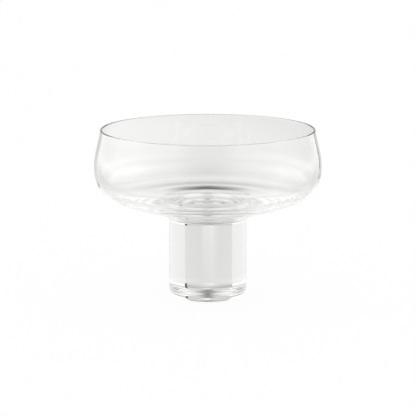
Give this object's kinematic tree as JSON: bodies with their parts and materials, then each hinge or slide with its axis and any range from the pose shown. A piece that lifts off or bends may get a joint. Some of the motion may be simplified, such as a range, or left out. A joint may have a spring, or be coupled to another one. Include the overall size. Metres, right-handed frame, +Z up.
{
  "type": "champagne coupe",
  "caption": "Clear glass coupe: a wide, shallow bowl that curves in to the rim, on a thick solid round stem with a rounded foot.",
  "frame": {"origin": "centre of the foot, on the surface that the glass stands on", "axes": "+Z up along the axis of the glass, from the foot to the rim; X and Y are any two directions across it, because the glass is round"},
  "size_m": [0.119, 0.119, 0.089],
  "materials": {
    "clear_glass": "clear, colourless, fire-polished"
  },
  "bodies": {
    "root": {"coupe": "clear_glass"}
  },
  "joints": []
}
